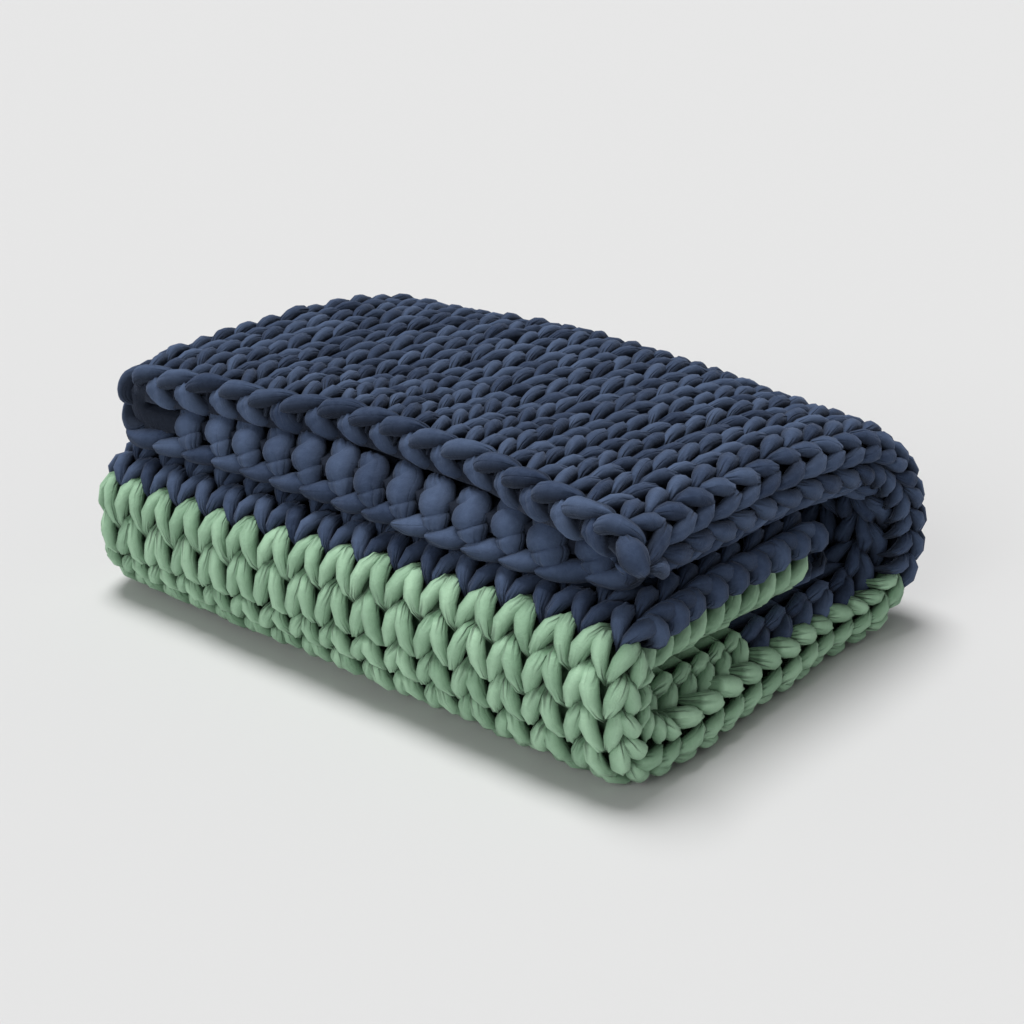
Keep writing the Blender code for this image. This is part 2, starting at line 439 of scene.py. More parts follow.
def knitTree(shapeCount):
    k, g = knitSettings, guideSizes
    tree = bpy.data.node_groups.new("knit strands along the cloth", "GeometryNodeTree")
    face = tree.interface
    sockets = {"Geometry": face.new_socket("Geometry", in_out="INPUT", socket_type="NodeSocketGeometry")}
    face.new_socket("Geometry", in_out="OUTPUT", socket_type="NodeSocketGeometry")
    for name, kind in (
        ("Guide", "Object"), ("Finish", "Material"), ("First wale", "Float"), ("Wales", "Int"),
        ("First row", "Float"), ("Rows", "Int"), ("Wale width", "Float"), ("Row height", "Float"),
        ("Drift", "Float"), ("Turn", "Float"), ("Size change", "Float"), ("Lumps", "Float"),
        ("Floor", "Float"), ("Seed", "Int"),
    ):
        sockets[name] = face.new_socket(name, in_out="INPUT", socket_type="NodeSocket" + kind)
    for number in range(shapeCount):
        name = "Shape " + str(number + 1)
        sockets[name] = face.new_socket(name, in_out="INPUT", socket_type="NodeSocketObject")
    add = partial(addNode, tree)
    given = add("NodeGroupInput").outputs

    def spread(amount, step, shares=(1.0, 1.0, 1.0)):
        # a random vector for each strand, as far as its share of the amount either way
        seed = add("ShaderNodeMath", {0: given["Seed"], 1: step}, operation="ADD")
        wild = add("FunctionNodeRandomValue", {
            "Min": (-1.0, -1.0, -1.0), "Max": (1.0, 1.0, 1.0), "Seed": seed}, data_type="FLOAT_VECTOR")
        most = add("ShaderNodeVectorMath", {"Vector": shares, "Scale": amount}, operation="SCALE")
        return add("ShaderNodeVectorMath", {0: wild, 1: most}, operation="MULTIPLY")

    # a grid of points, one for each stitch, moved from the middle to its first column and row
    walesLess = add("ShaderNodeMath", {0: given["Wales"], 1: 1.0}, operation="SUBTRACT")
    rowsLess = add("ShaderNodeMath", {0: given["Rows"], 1: 1.0}, operation="SUBTRACT")
    width = add("ShaderNodeMath", {0: walesLess, 1: given["Wale width"]}, operation="MULTIPLY")
    height = add("ShaderNodeMath", {0: rowsLess, 1: given["Row height"]}, operation="MULTIPLY")
    grid = add("GeometryNodeMeshGrid", {
        "Size X": width, "Size Y": height, "Vertices X": given["Wales"], "Vertices Y": given["Rows"]})
    left = add("ShaderNodeMath", {0: given["First wale"], 1: given["Wale width"]}, operation="MULTIPLY")
    start = add("ShaderNodeMath", {0: given["First row"], 1: given["Row height"]}, operation="MULTIPLY")
    middleX = add("ShaderNodeMath", {0: width, 1: 0.5, 2: left}, operation="MULTIPLY_ADD")
    middleY = add("ShaderNodeMath", {0: height, 1: 0.5, 2: start}, operation="MULTIPLY_ADD")
    middle = add("ShaderNodeCombineXYZ", {0: middleX, 1: middleY})
    placed = add("GeometryNodeSetPosition", {"Geometry": grid, "Offset": middle})
    steps = k["seedSteps"]
    drifted = add("GeometryNodeSetPosition", {
        "Geometry": placed, "Offset": spread(given["Drift"], steps["drift"], k["driftShares"])})

    joined = add("GeometryNodeJoinGeometry")
    for number in range(shapeCount):
        shape = add("GeometryNodeObjectInfo", {"Object": given["Shape " + str(number + 1)]})
        turn = spread(given["Turn"], steps["turn"] + number, k["turnShares"])
        change = spread(given["Size change"], steps["size"] + number)
        scale = add("ShaderNodeVectorMath", {0: change, 1: (1.0, 1.0, 1.0)}, operation="ADD")
        strands = add("GeometryNodeInstanceOnPoints", {
            "Points": drifted, "Instance": shape.outputs["Geometry"], "Rotation": turn, "Scale": scale})
        seed = add("ShaderNodeMath", {0: given["Seed"], 1: steps["shade"] + number}, operation="ADD")
        shade = add("FunctionNodeRandomValue", {"Seed": seed})
        marked = add("GeometryNodeStoreNamedAttribute", {
            "Geometry": strands, "Name": "strandShade", "Value": shade.outputs[1]},
            domain="INSTANCE", data_type="FLOAT")
        tree.links.new(marked.outputs[0], joined.inputs[0])
    real = add("GeometryNodeRealizeInstances", {"Geometry": joined})
    smooth = add("GeometryNodeSetShadeSmooth", {"Geometry": real})

    # the yarn is a little lumpy
    here = add("GeometryNodeInputPosition")
    facing = add("GeometryNodeInputNormal")
    lumps = add("ShaderNodeTexNoise", {"Vector": here, "Scale": k["lumpScale"], "Detail": 1.0})
    bothWays = add("ShaderNodeMath", {0: lumps, 1: 0.5}, operation="SUBTRACT")
    swell = add("ShaderNodeMath", {0: bothWays, 1: given["Lumps"]}, operation="MULTIPLY")
    swollen = add("ShaderNodeVectorMath", {"Vector": facing, "Scale": swell}, operation="SCALE")
    lumpy = add("GeometryNodeSetPosition", {"Geometry": smooth, "Offset": swollen})

    # each point takes its place on the guide from its place on the flat cloth
    perWale = add("ShaderNodeMath", {0: 1.0 / g["waleSpan"], 1: given["Wale width"]}, operation="DIVIDE")
    perRow = add("ShaderNodeMath", {0: 1.0 / g["rowSpan"], 1: given["Row height"]}, operation="DIVIDE")
    perMetre = add("ShaderNodeCombineXYZ", {0: perWale, 1: perRow})
    margin = (g["waleMargin"] / g["waleSpan"], g["rowMargin"] / g["rowSpan"], 0.0)
    flat = add("ShaderNodeVectorMath", {0: here, 1: perMetre, 2: margin}, operation="MULTIPLY_ADD")
    guide = add("GeometryNodeObjectInfo", {"Object": given["Guide"]}).outputs["Geometry"]
    flatMap = add("GeometryNodeInputNamedAttribute", {"Name": "flatMap"}, data_type="FLOAT_VECTOR")
    normal = add("GeometryNodeInputNamedAttribute", {"Name": "clothNormal"}, data_type="FLOAT_VECTOR")
    place, outward = (add("GeometryNodeSampleUVSurface", {
        "Mesh": guide, "Value": value, "Source UV Map": flatMap, "Sample UV": flat},
        data_type="FLOAT_VECTOR") for value in (here, normal))
    level = add("ShaderNodeSeparateXYZ", {0: here}).outputs["Z"]
    straight = add("ShaderNodeVectorMath", {0: outward}, operation="NORMALIZE")
    lift = add("ShaderNodeVectorMath", {"Vector": straight, "Scale": level}, operation="SCALE")
    lifted = add("ShaderNodeVectorMath", {0: place, 1: lift}, operation="ADD")
    carried = add("GeometryNodeSetPosition", {"Geometry": lumpy, "Position": lifted})
    lowest = add("ShaderNodeCombineXYZ", {0: k["farBelow"], 1: k["farBelow"], 2: given["Floor"]})
    held = add("ShaderNodeVectorMath", {0: here, 1: lowest}, operation="MAXIMUM")
    resting = add("GeometryNodeSetPosition", {"Geometry": carried, "Position": held})
    finished = add("GeometryNodeSetMaterial", {"Geometry": resting, "Material": given["Finish"]})
    add("NodeGroupOutput", {0: finished})
    return tree, sockets


trees = {}


def knitPatch(name, shapes, slotName, wales, rows, seed, **changes):
    # wales and rows are (first, count); first may be a fraction
    if len(shapes) not in trees:
        trees[len(shapes)] = knitTree(len(shapes))
    tree, sockets = trees[len(shapes)]
    carrier = meshObject(name + "Carrier", [(0.0, 0.0, 0.0)], [])
    bpy.context.scene.collection.objects.link(carrier)
    modifier = carrier.modifiers.new("knit", "NODES")
    modifier.node_group = tree
    k = {**knitSettings, **changes}
    values = {
        "Guide": foldedSheet, "Finish": yarns[slotName], "First wale": wales[0], "Wales": wales[1],
        "First row": rows[0], "Rows": rows[1], "Wale width": clothSizes["waleWidth"],
        "Row height": clothSizes["rowHeight"], "Drift": k["driftOfAStitch"], "Turn": k["turnOfAStitch"],
        "Size change": k["sizeChange"], "Lumps": k["lumps"], "Floor": k["floor"], "Seed": seed,
    }
    for number, shape in enumerate(shapes):
        values["Shape " + str(number + 1)] = shape
    for key, value in values.items():
        kind = sockets[key].socket_type
        modifier[sockets[key].identifier] = float(value) if kind == "NodeSocketFloat" else value
    bpy.context.view_layer.update()
    graph = bpy.context.evaluated_depsgraph_get()
    mesh = bpy.data.meshes.new_from_object(carrier.evaluated_get(graph), depsgraph=graph)
    mesh.name = name
    bpy.data.objects.remove(carrier)
    piece = bpy.data.objects.new(name, mesh)
    bpy.context.scene.collection.objects.link(piece)
    dressCloth(piece)
    print(name, len(mesh.vertices), "points", sum(len(p.vertices) - 2 for p in mesh.polygons), "triangles")


# cotton jersey, knitted fine and cut in strips that roll into a soft tube: matt, a little fuzzy, with long
# creases that gather where a strand is pulled tight; the shade in the creases, on the flanks and at the ends
# is painted in
jerseyLook = {
    # the creases are deep where a strand comes up and where it dives, and fade in its middle
    "startSlope": 3.2, "endSlope": 3.8, "gatherPower": 1.5, "leastGather": 0.06,
    # about 5 creases round a strand of 18 mm, drawn out along it
    "creaseScale": (1.1, 6.5, 57.0), "creaseSharpness": 11.0,
    "creases": {"Scale": 1.0, "Detail": 0.6, "Roughness": 0.4, "Distortion": 0.25},
    # fine jersey ribs, really 0.6 mm apart, drawn at 1.4 mm so that they show, and fuzz in tufts of 6 mm
    "grain": {"Scale": 700.0, "Detail": 2.0, "Roughness": 0.6},
    "fuzz": {"Scale": 160.0, "Detail": 3.0, "Roughness": 0.6},
    "grainHeight": 0.16, "fuzzHeight": 0.30, "bump": 0.0028,
    "shadeShare": 0.55, "fuzzShare": 0.45, "deepAt": 0.15, "paleAt": 0.85,
    # the flanks of a strand and its two ends lie between others, in their shade, which is painted in as a
    # darker colour
    "flankFrom": 0.02, "flankSlope": 4.2, "buriedFrom": 0.72, "buriedSlope": 3.4, "paintedCreaseShadeShare": 0.62,
    "roughness": 0.88, "ior": 1.45, "specular": 0.25, "sheenRoughness": 0.45,
}


def jerseyYarn(name, shades):
    j = jerseyLook
    material = bpy.data.materials.new(name)
    material.use_nodes = True
    tree = material.node_tree
    tree.nodes.clear()
    add = partial(addNode, tree)
    strandMap = add("ShaderNodeUVMap", uv_map="strandMap")
    shade = add("ShaderNodeAttribute", attribute_name="strandShade").outputs["Fac"]
    solid = add("ShaderNodeTexCoord").outputs["Object"]
    parts = add("ShaderNodeSeparateXYZ", {0: strandMap}).outputs
    along, around = parts["X"], parts["Y"]

    # creases
    nearStart = add("ShaderNodeMath", {0: along, 1: -j["startSlope"], 2: j["startSlope"] / 2.0},
                    operation="MULTIPLY_ADD", use_clamp=True)
    nearEnd = add("ShaderNodeMath", {0: along, 1: j["endSlope"], 2: -j["endSlope"] / 2.0},
                  operation="MULTIPLY_ADD", use_clamp=True)
    nearTips = add("ShaderNodeMath", {0: nearStart, 1: nearEnd}, operation="MAXIMUM")
    tightness = add("ShaderNodeMath", {0: nearTips, 1: j["gatherPower"]}, operation="POWER")
    gather = add("ShaderNodeMath", {0: tightness, 1: 1.0 - j["leastGather"], 2: j["leastGather"]},
                 operation="MULTIPLY_ADD")
    strandPlace = add("ShaderNodeCombineXYZ", {0: along, 1: around, 2: shade})
    creaseMap = add("ShaderNodeVectorMath", {0: strandPlace, 1: j["creaseScale"]}, operation="MULTIPLY")
    creases = add("ShaderNodeTexNoise", {"Vector": creaseMap, **j["creases"]})
    crossing = add("ShaderNodeMath", {0: creases, 1: 0.5}, operation="SUBTRACT")
    apart = add("ShaderNodeMath", {0: crossing}, operation="ABSOLUTE")
    valley = add("ShaderNodeMath", {0: apart, 1: -j["creaseSharpness"], 2: 1.0},
                 operation="MULTIPLY_ADD", use_clamp=True)
    depth = add("ShaderNodeMath", {0: valley, 1: gather}, operation="MULTIPLY")

    # relief
    grain = add("ShaderNodeTexNoise", {"Vector": solid, **j["grain"]})
    fuzz = add("ShaderNodeTexNoise", {"Vector": solid, **j["fuzz"]})
    grainRelief = add("ShaderNodeMath", {0: grain, 1: j["grainHeight"]}, operation="MULTIPLY")
    softRelief = add("ShaderNodeMath", {0: fuzz, 1: j["fuzzHeight"], 2: grainRelief},
                     operation="MULTIPLY_ADD")
    relief = add("ShaderNodeMath", {0: softRelief, 1: depth}, operation="SUBTRACT")
    bump = add("ShaderNodeBump", {"Height": relief, "Distance": j["bump"], "Strength": 1.0})

    # colour: a random tone for each strand, with painted shade
    strandTone = add("ShaderNodeMath", {0: shade, 1: j["shadeShare"]}, operation="MULTIPLY")
    tone = add("ShaderNodeMath", {0: fuzz, 1: j["fuzzShare"], 2: strandTone}, operation="MULTIPLY_ADD")
    ramp = add("ShaderNodeValToRGB", {0: tone})
    stops = ramp.color_ramp.elements
    stops[0].position, stops[0].color = j["deepAt"], linearColour(shades["deep"])
    stops[1].position, stops[1].color = j["paleAt"], linearColour(shades["pale"])
    # painted shade: the flanks away from the crest, the buried ends and the crease valleys are mixed toward a
    # dark colour
    fromCrest = add("ShaderNodeMath", {0: around, 1: 0.5}, operation="SUBTRACT")
    eitherSide = add("ShaderNodeMath", {0: fromCrest}, operation="ABSOLUTE")
    flank = add("ShaderNodeMath", {0: eitherSide, 1: j["flankSlope"], 2: -j["flankSlope"] * j["flankFrom"]},
                operation="MULTIPLY_ADD", use_clamp=True)
    buried = add("ShaderNodeMath", {0: nearTips, 1: j["buriedSlope"], 2: -j["buriedSlope"] * j["buriedFrom"]},
                 operation="MULTIPLY_ADD", use_clamp=True)
    hidden = add("ShaderNodeMath", {0: flank, 1: buried}, operation="MAXIMUM")
    paintedShade = add("ShaderNodeMath", {0: hidden, 1: shades["paintedShade"]}, operation="MULTIPLY")
    paintedCreaseShade = add("ShaderNodeMath", {0: depth, 1: j["paintedCreaseShadeShare"]}, operation="MULTIPLY")
    paintedShadeFactor = add("ShaderNodeMath", {0: paintedCreaseShade, 1: paintedShade}, operation="MAXIMUM")
    paintedShadeMix = add("ShaderNodeMix", {
        "Factor_Float": paintedShadeFactor, "A_Color": ramp, "B_Color": linearColour(shades["paintedShadeColour"])}, data_type="RGBA")
    surface = add("ShaderNodeBsdfPrincipled", {
        "Base Color": next(s for s in paintedShadeMix.outputs if s.identifier == "Result_Color"), "Normal": bump,
        "Roughness": j["roughness"], "IOR": j["ior"], "Specular IOR Level": j["specular"],
        "Sheen Weight": shades["sheen"], "Sheen Roughness": j["sheenRoughness"],
        "Sheen Tint": linearColour(shades["nap"])})
    add("ShaderNodeOutputMaterial", {"Surface": surface})
    return material


yarns = {
    # the darkest colour of each yarn is painted shade, laid on creases, flanks and buried ends with its share
    "navy_yarn": jerseyYarn("navy cotton jersey", {
        "deep": "#25324a", "pale": "#4b5b77", "paintedShadeColour": "#0b0e14", "nap": "#95a4c3", "sheen": 0.20,
        "paintedShade": 0.78}),
    "green_yarn": jerseyYarn("sage green cotton jersey", {
        "deep": "#88aa8e", "pale": "#a5c8aa", "paintedShadeColour": "#28502f", "nap": "#cfe4cf", "sheen": 0.13,
        "paintedShade": 0.68}),
}
print("yarns mixed")


# the legs of a stitch: each comes up between the legs of the row before and dives under the next
legSizes = {
    # across, along, height, half width, half thickness, gathers
    "leg": (
        (0.0000, -0.0250, -0.0120, 0.0012, 0.0014, 0.00),
        (0.0014, -0.0196, -0.0052, 0.0030, 0.0034, 0.36),
        (0.0044, -0.0122, 0.0012, 0.0054, 0.0054, 0.22),
        (0.0082, -0.0032, 0.0044, 0.0078, 0.0064, 0.04),
        (0.0120, 0.0060, 0.0042, 0.0087, 0.0066, 0.03),
        (0.0150, 0.0142, 0.0012, 0.0081, 0.0060, 0.18),
        (0.0172, 0.0210, -0.0044, 0.0060, 0.0046, 0.36),
        (0.0182, 0.0258, -0.0110, 0.0028, 0.0026, 0.00),
    ),
    # on the top the legs lie flatter and lean less, each beside the end of the one before;
    # the left ones are drawn out longer
    "topRight": (
        (0.0016, -0.0255, -0.0110, 0.0012, 0.0014, 0.00),
        (0.0028, -0.0200, -0.0036, 0.0032, 0.0034, 0.30),
        (0.0056, -0.0125, 0.0018, 0.0054, 0.0052, 0.18),
        (0.0086, -0.0038, 0.0040, 0.0068, 0.0062, 0.05),
        (0.0106, 0.0050, 0.0038, 0.0072, 0.0064, 0.03),
        (0.0134, 0.0135, 0.0016, 0.0064, 0.0058, 0.15),
        (0.0154, 0.0200, -0.0030, 0.0048, 0.0044, 0.30),
        (0.0164, 0.0250, -0.0100, 0.0022, 0.0022, 0.00),
    ),
    "topLeft": (
        (0.0016, -0.0280, -0.0110, 0.0012, 0.0014, 0.00),
        (0.0026, -0.0225, -0.0020, 0.0034, 0.0034, 0.30),
        (0.0052, -0.0140, 0.0036, 0.0054, 0.0052, 0.18),
        (0.0080, -0.0045, 0.0054, 0.0062, 0.0060, 0.05),
        (0.0102, 0.0055, 0.0054, 0.0066, 0.0062, 0.03),
        (0.0124, 0.0150, 0.0036, 0.0060, 0.0056, 0.15),
        (0.0142, 0.0225, -0.0010, 0.0044, 0.0042, 0.30),
        (0.0150, 0.0280, -0.0090, 0.0022, 0.0022, 0.00),
    ),
    # where the outer layer's side lies tucked in, its last column is one wide strand a row
    "tuckedEdge": (
        (-0.0195, -0.0070, -0.0140, 0.0030, 0.0030, 0.00),
        (-0.0155, -0.0034, -0.0056, 0.0060, 0.0056, 0.22),
        (-0.0085, 0.0010, 0.0016, 0.0090, 0.0082, 0.06),
        (0.0000, 0.0030, 0.0040, 0.0102, 0.0092, 0.00),
        (0.0085, 0.0016, 0.0016, 0.0090, 0.0082, 0.06),
        (0.0155, -0.0026, -0.0056, 0.0060, 0.0056, 0.22),
        (0.0195, -0.0062, -0.0140, 0.0030, 0.0030, 0.00),
    ),
    # along the inner layer's side that strand slants like a link of a rope
    "liningEdge": (
        (-0.0200, -0.0250, -0.0090, 0.0026, 0.0026, 0.00),
        (-0.0160, -0.0195, -0.0020, 0.0052, 0.0054, 0.26),
        (-0.0100, -0.0110, 0.0028, 0.0078, 0.0076, 0.10),
        (0.0000, 0.0000, 0.0050, 0.0092, 0.0086, 0.00),
        (0.0110, 0.0110, 0.0024, 0.0080, 0.0076, 0.08),
        (0.0180, 0.0190, -0.0030, 0.0052, 0.0052, 0.26),
        (0.0220, 0.0240, -0.0100, 0.0026, 0.0026, 0.00),
    ),
    "edgeFacing": (0.0, -1.0, -0.55),
    "rings": 8, "plainRings": 6, "edgeRings": 13,
}


def bothLegs(name, right, left, rings):
    return [strandShape(name + "Right", legSizes[right], rings),
            strandShape(name + "Left", legSizes[left], rings, -1.0)]


legs = bothLegs("leg", "leg", "leg", legSizes["rings"])
topLegs = bothLegs("top", "topRight", "topLeft", legSizes["rings"])
plainLegs = bothLegs("plainLeg", "leg", "leg", legSizes["plainRings"])
rings = legSizes["edgeRings"]
edges = [strandShape("tuckedEdge", legSizes["tuckedEdge"], rings, 1.0, legSizes["edgeFacing"])]
liningEdges = [strandShape("liningEdge", legSizes["liningEdge"], rings, -1.0)]

# the top shows most, so its stitches differ most
knitPatch("navyTopStitches", topLegs, "navy_yarn", (16, 17), (1.0, 18), 3,
          driftOfAStitch=0.0013, turnOfAStitch=0.10, sizeChange=0.09)
# shapes, yarn, first column and columns, first row and rows, seed
stitchPatches = {
    "navyTopEdgeStitches": (legs, "navy_yarn", (33, 2), (1.0, 18), 4),
    "greenBandStitches": (legs, "green_yarn", (16, 19), (19.0, 18), 5),
    "navyInnerStitches": (legs, "navy_yarn", (13, 21), (37.0, 9), 7),
    "navyLiningStitches": (plainLegs, "navy_yarn", (1, 15), (1.0, 18), 11),
    "greenLiningStitches": (plainLegs, "green_yarn", (1, 15), (19.0, 17), 13),
    "navyLiningEndStitches": (plainLegs, "navy_yarn", (1, 12), (36.0, 2), 17),
    "navyInnerEdge": (edges, "navy_yarn", (33.5, 1), (37.3, 9), 37),
    "navyLiningEdge": (liningEdges, "navy_yarn", (0.2, 1), (1.3, 18), 41),
    "greenLiningEdge": (liningEdges, "green_yarn", (0.2, 1), (19.3, 17), 43),
}
for patchName, patch in stitchPatches.items():
    knitPatch(patchName, *patch)


# the cast-on edge: a rope of fat links on the knit side, and a wide loop round the edge under each;
# the outer layer shows the links best, the inner layer the loops
castOnSizes = {
    # across, along, height, half width, half thickness, gathers
    "outerLink": (
        (-0.0225, -0.0020, -0.0080, 0.0022, 0.0024, 0.00),
        (-0.0192, -0.0040, -0.0044, 0.0054, 0.0054, 0.14),
        (-0.0130, -0.0052, -0.0006, 0.0076, 0.0074, 0.04),
        (-0.0050, -0.0046, 0.0024, 0.0084, 0.0080, 0.02),
        (0.0040, -0.0018, 0.0040, 0.0076, 0.0074, 0.06),
        (0.0122, 0.0030, 0.0042, 0.0058, 0.0056, 0.16),
        (0.0196, 0.0076, 0.0022, 0.0040, 0.0040, 0.22),
        (0.0250, 0.0100, -0.0030, 0.0022, 0.0022, 0.00),
    ),
    "cornerLink": (
        (-0.0200, 0.0000, -0.0040, 0.0030, 0.0030, 0.10),
        (-0.0150, -0.0040, -0.0010, 0.0064, 0.0064, 0.22),
        (-0.0085, -0.0078, 0.0004, 0.0094, 0.0092, 0.10),
        (-0.0005, -0.0090, 0.0000, 0.0112, 0.0106, 0.02),
        (0.0060, -0.0070, -0.0024, 0.0096, 0.0092, 0.06),
        (0.0100, -0.0020, -0.0060, 0.0064, 0.0062, 0.20),
        (0.0120, 0.0030, -0.0100, 0.0030, 0.0030, 0.10),
    ),
    "outerLoop": (
        (-0.0080, 0.0050, 0.0000, 0.0050, 0.0040, 0.20),
        (-0.0075, -0.0020, -0.0030, 0.0080, 0.0056, 0.28),
        (-0.0056, -0.0062, -0.0070, 0.0108, 0.0060, 0.16),
        (-0.0040, -0.0066, -0.0092, 0.0118, 0.0050, 0.06),
        (-0.0024, -0.0060, -0.0116, 0.0134, 0.0062, 0.00),
        (0.0000, -0.0036, -0.0150, 0.0148, 0.0074, 0.00),
        (0.0030, 0.0016, -0.0188, 0.0146, 0.0076, 0.00),
        (0.0050, 0.0090, -0.0205, 0.0120, 0.0064, 0.00),
        (0.0060, 0.0160, -0.0200, 0.0080, 0.0050, 0.00),
        (0.0060, 0.0210, -0.0180, 0.0050, 0.0040, 0.00),
    ),
    "innerLink": (
        (-0.0230, 0.0030, -0.0060, 0.0040, 0.0040, 0.10),
        (-0.0170, 0.0000, -0.0010, 0.0084, 0.0076, 0.02),
        (-0.0070, -0.0048, 0.0018, 0.0104, 0.0088, 0.00),
        (0.0040, -0.0086, 0.0034, 0.0100, 0.0086, 0.04),
        (0.0140, -0.0118, 0.0046, 0.0070, 0.0064, 0.20),
        (0.0210, -0.0132, 0.0052, 0.0034, 0.0034, 0.30),
        (0.0240, -0.0136, 0.0052, 0.0012, 0.0012, 0.00),
    ),
    "innerLoop": (
        (0.0210, 0.0150, -0.0285, 0.0050, 0.0044, 0.10),
        (0.0184, 0.0100, -0.0282, 0.0084, 0.0056, 0.22),
        (0.0146, 0.0066, -0.0272, 0.0108, 0.0062, 0.16),
        (0.0112, 0.0048, -0.0258, 0.0118, 0.0052, 0.05),
        (0.0086, 0.0034, -0.0246, 0.0136, 0.0066, 0.00),
        (0.0064, 0.0000, -0.0220, 0.0150, 0.0082, 0.00),
        (0.0036, -0.0050, -0.0180, 0.0150, 0.0082, 0.00),
        (0.0012, -0.0074, -0.0134, 0.0136, 0.0068, 0.00),
        (0.0004, -0.0078, -0.0114, 0.0122, 0.0046, 0.00),
        (-0.0006, -0.0084, -0.0094, 0.0138, 0.0064, 0.00),
        (-0.0014, -0.0088, -0.0050, 0.0126, 0.0064, 0.04),
        (-0.0024, -0.0060, -0.0002, 0.0100, 0.0058, 0.10),
        (-0.0030, 0.0010, 0.0030, 0.0060, 0.0040, 0.00),
    ),
    "rings": 25, "topSides": 9, "lowSides": 5, "row": 0.22, "turnOfAStitch": 0.05,
}

# strand, direction of its width, share of the strand map, crest (the side kept free of painted shade), first
# column, columns, seed
castOnPatches = {
    "outerCastOnLinks": ("outerLink", (0, -1, 0), 0.52, 66.0, 16, 18, 19),
    "cornerCastOnLink": ("cornerLink", (0, -1, 0), 0.7, 60.0, 33.7, 1, 20),
    "outerCastOnLoops": ("outerLoop", (-1, 0, 0), 0.6, 90.0, 18.5, 15, 23),
    "innerCastOnLinks": ("innerLink", (0, -1, 0), 0.44, -40.0, 0, 16, 29),
    "innerCastOnLoops": ("innerLoop", (1, 0, 0), 0.55, 90.0, 0.5, 14, 31),
}
for patchName, (strand, facing, mapSpan, crest, firstWale, count, seed) in castOnPatches.items():
    c = castOnSizes
    shape = strandShape(strand, c[strand], c["rings"], 1.0, facing, c["topSides"], c["lowSides"],
                        mapSpan, crest)
    knitPatch(patchName, [shape], "navy_yarn", (firstWale, count), (c["row"], 1), seed,
              turnOfAStitch=c["turnOfAStitch"])


# the body of the cloth behind the strands, so that no light comes through; its yarn is painted in the shade
# of a strand's flank, so that it looks dark between the strands
coreSizes = {
    "level": -0.0005, "foldRise": 0.0040, "foldReach": 2.6,  # fuller within so many columns of the fold
    "inside": -0.0075, "insideSink": -0.0070,  # its other side, further down away from the curls
    "innerCurlWales": 1.4, "outerCurlWales": 1.6,
    "firstWale": -0.1, "endShort": -0.012, "linesToARow": 2,
    # a flank of the strand map, so the core takes the yarn's painted shade
    "look": (0.5, 0.95),  # on the strand map: a flank, halfway along it, smooth and deep
}


def clothCore(name, rows, slotName, lastWale):
    c = coreSizes
    wales = knitLines()[0]
    wales = wales[(wales > c["firstWale"]) & (wales < lastWale)]
    lines = np.linspace(rows[0], rows[1], int((rows[1] - rows[0]) * c["linesToARow"]) + 1)
    fromFold = np.abs(wales - clothSizes["foldMiddle"])
    rise = c["foldRise"] * smoothShare(c["foldReach"] - fromFold)[:, None]
    outer = clothSurface(wales, lines, c["level"] + rise, c["endShort"])
    fromSides = np.minimum(wales - c["innerCurlWales"], clothSizes["lastWale"] - c["outerCurlWales"] - wales)
    sink = c["insideSink"] * smoothShare(fromSides)[:, None]
    inner = clothSurface(wales, lines, c["inside"] + sink, c["endShort"])
    count = outer.shape[0] * outer.shape[1]
    index = np.arange(count).reshape(outer.shape[:2])
    faces = [gridFaces(index), gridFaces(index + count)[:, ::-1]]
    rim = np.concatenate([index[:, 0], index[-1, 1:], index[-2::-1, -1], index[0, -2:0:-1]])
    after = np.roll(rim, -1)
    faces.append(np.stack([after, rim, rim + count, after + count], axis=-1))
    core = meshObject(name, np.vstack([outer.reshape(-1, 3), inner.reshape(-1, 3)]), np.vstack(faces))
    core.data.materials.append(yarns[slotName])
    strandMap = core.data.uv_layers.new(name="strandMap")
    strandMap.data.foreach_set("uv", np.tile(c["look"], len(core.data.loops)))
    core.data.shade_smooth()
    bpy.context.scene.collection.objects.link(core)
    dressCloth(core)


clothCore("navyCoreStart", (0.05, 18.4), "navy_yarn", 34.1)
clothCore("greenCore", (18.4, 36.4), "green_yarn", 34.1)
clothCore("navyCoreEnd", (36.4, 45.4), "navy_yarn", 33.7)
print("cloth core made")


# studio: a pale floor whose far rim rises, so that it also fills the view from low down,
# soft light from overhead and a weaker one from the front
studioSizes = {
    "floorColour": "#cfcfcf", "flatRadius": 4.0, "rimRadius": 40.0, "rimHeight": 10.5,
    "floorSides": 64, "floorRings": 12, "worldStrength": 0.20,
    # from where, strength, degrees that it covers
    "suns": {
        "softKey": ((-0.20, 0.02, 1.00), 2.87, 28.0),
        "frontFill": ((0.12, -0.97, 0.47), 1.10, 34.0),
    },
}


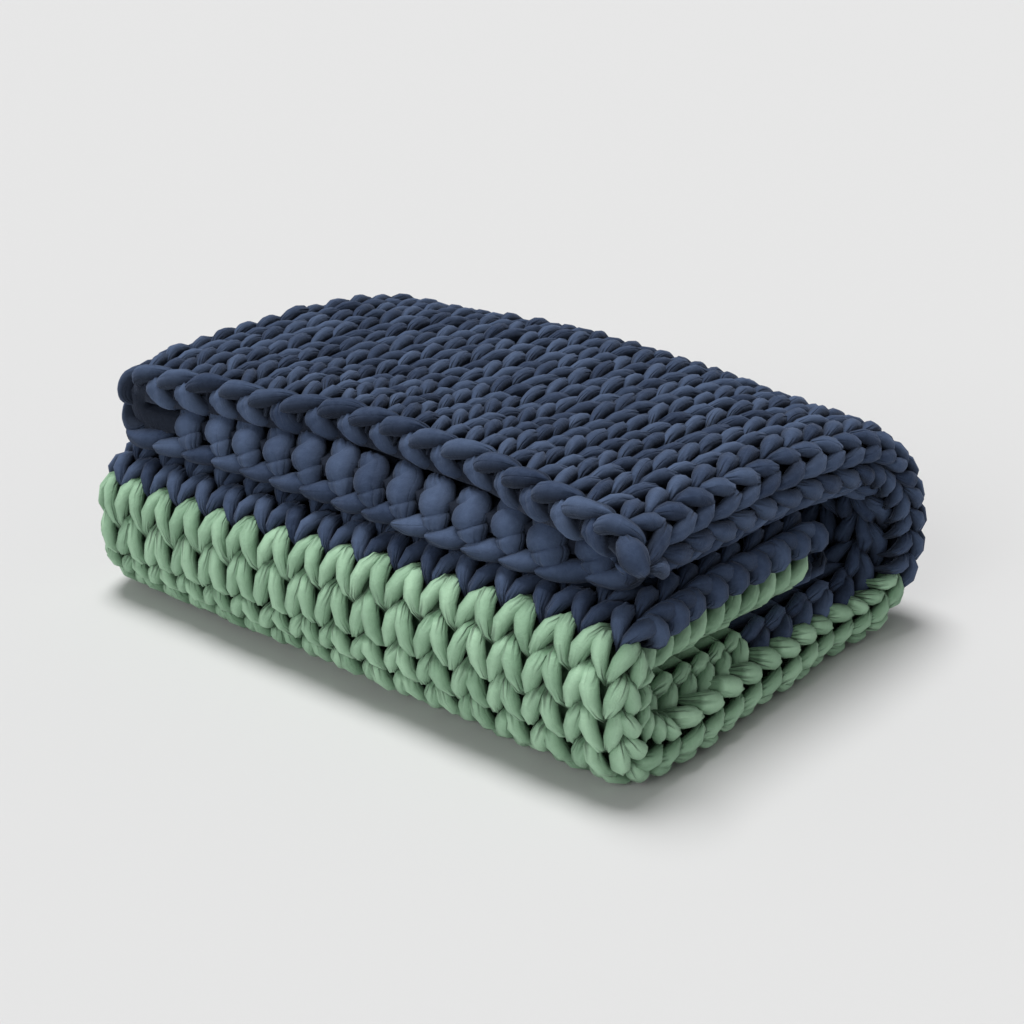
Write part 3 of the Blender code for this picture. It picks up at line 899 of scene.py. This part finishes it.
def makeStudio():
    st = studioSizes
    sides = st["floorSides"]
    turns = np.arange(sides) * 2.0 * math.pi / sides
    points, faces = [], [tuple(range(sides))]
    for share in np.linspace(0.0, 1.0, st["floorRings"]):
        radius = st["flatRadius"] + (st["rimRadius"] - st["flatRadius"]) * share
        points += [(radius * math.cos(t), radius * math.sin(t), st["rimHeight"] * share ** 2) for t in turns]
    for ring in range(st["floorRings"] - 1):
        a, b = ring * sides, (ring + 1) * sides
        for i in range(sides):
            j = (i + 1) % sides
            faces.append((a + i, b + i, b + j, a + j))
    floor = meshObject("studioFloor", points, faces)
    floor.data.shade_smooth()
    paint = bpy.data.materials.new("matt studio paint")
    paint.use_nodes = True
    shader = paint.node_tree.nodes["Principled BSDF"]
    shader.inputs["Base Color"].default_value = linearColour(st["floorColour"])
    shader.inputs["Roughness"].default_value = 1.0
    shader.inputs["Specular IOR Level"].default_value = 0.0
    floor.data.materials.append(paint)
    bpy.context.scene.collection.objects.link(floor)
    world = bpy.data.worlds.new("studio")
    world.use_nodes = True
    sky = world.node_tree.nodes["Background"]
    sky.inputs["Color"].default_value = (1.0, 1.0, 1.0, 1.0)
    sky.inputs["Strength"].default_value = st["worldStrength"]
    bpy.context.scene.world = world
    for name, (source, strength, angle) in st["suns"].items():
        light = bpy.data.lights.new(name, "SUN")
        light.energy = strength
        light.angle = math.radians(angle)
        sun = bpy.data.objects.new(name, light)
        sun.rotation_euler = Vector(source).to_track_quat("Z", "Y").to_euler()
        bpy.context.scene.collection.objects.link(sun)


# camera at the photograph's angle, worked out from the outline and the columns of stitches
viewSizes = {
    "azimuth": 41.555, "elevation": 21.969, "distance": 1.7118, "focalPixels": 1963.2,
    "target": (0.00105, 0.02512, 0.07428), "roll": -0.0015, "centreShift": (10.6, 3.6),
    "sensorWidth": 36.0, "picturePixels": 1024.0,
}


def makeCamera():
    v = viewSizes
    az, el = math.radians(v["azimuth"]), math.radians(v["elevation"])
    back = Vector((math.sin(az) * math.cos(el), -math.cos(az) * math.cos(el), math.sin(el)))
    camera = bpy.data.objects.new("photoCamera", bpy.data.cameras.new("photoCamera"))
    camera.data.sensor_width = v["sensorWidth"]
    camera.data.lens = v["focalPixels"] * v["sensorWidth"] / v["picturePixels"]
    camera.data.shift_x = -v["centreShift"][0] / v["picturePixels"]
    camera.data.shift_y = v["centreShift"][1] / v["picturePixels"]
    turn = back.to_track_quat("Z", "Y").to_matrix().to_4x4() @ Matrix.Rotation(v["roll"], 4, "Z")
    camera.matrix_world = Matrix.Translation(Vector(v["target"]) + back * v["distance"]) @ turn
    bpy.context.scene.collection.objects.link(camera)
    bpy.context.scene.camera = camera


makeStudio()
makeCamera()
bpy.context.scene.view_settings.view_transform = "Standard"
print("studio set")

bpy.context.view_layer.update()
